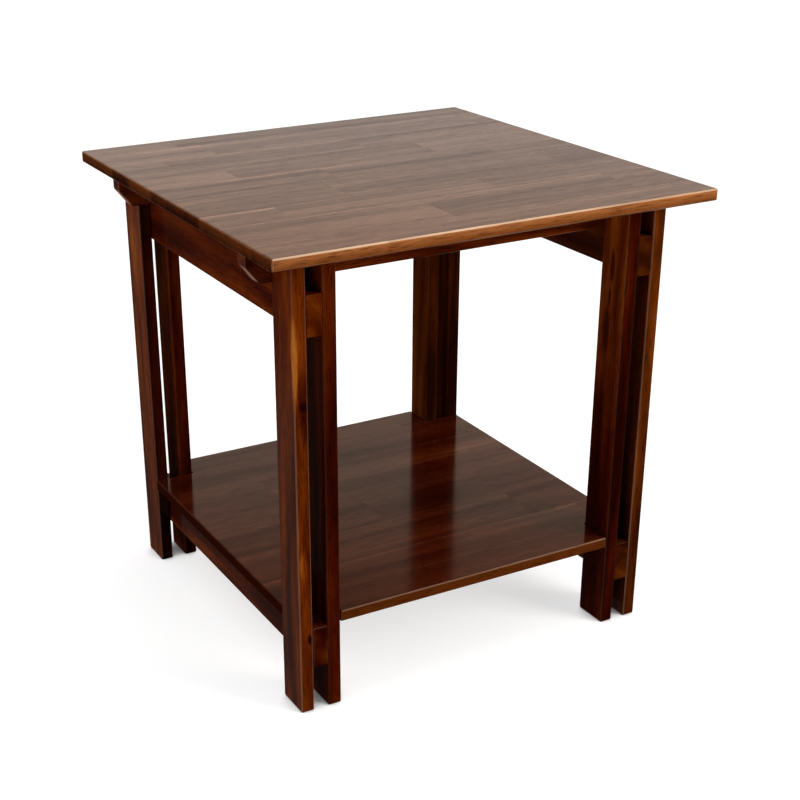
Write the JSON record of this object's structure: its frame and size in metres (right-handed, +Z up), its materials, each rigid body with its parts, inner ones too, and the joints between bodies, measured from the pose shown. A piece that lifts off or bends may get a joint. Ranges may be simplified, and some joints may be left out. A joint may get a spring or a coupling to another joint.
{
  "type": "end table with shelf",
  "caption": "Square end table with a butcher block top, split legs of paired boards that clasp stepped aprons and rails, clipped bearers under the top and a notched lower shelf.",
  "frame": {"origin": "on the floor, under the middle of the top", "axes": "+X along the staves of the top and the bearers, +Y from the front towards the back along the aprons, +Z up"},
  "size_m": [0.6, 0.6, 0.6],
  "materials": {
    "panel_wood": "gloss lacquer over dark stain",
    "frame_wood": "gloss lacquer over dark stain",
    "dowel_wood": "bare beech",
    "screw_steel": "zinc plated"
  },
  "bodies": {
    "root": {"table_top": "panel_wood", "shelf": "panel_wood", "front_left_leg_outer_board": "frame_wood", "front_left_leg_inner_board": "frame_wood", "front_right_leg_outer_board": "frame_wood", "front_right_leg_inner_board": "frame_wood", "back_left_leg_outer_board": "frame_wood", "back_left_leg_inner_board": "frame_wood", "back_right_leg_outer_board": "frame_wood", "back_right_leg_inner_board": "frame_wood", "left_apron": "frame_wood", "right_apron": "frame_wood", "left_rail": "frame_wood", "right_rail": "frame_wood", "front_bearer": "frame_wood", "back_bearer": "frame_wood", "apron_dowels": "dowel_wood", "rail_dowels": "dowel_wood", "bearer_screws": "screw_steel", "top_screws": "screw_steel", "shelf_screws": "screw_steel"}
  },
  "joints": []
}
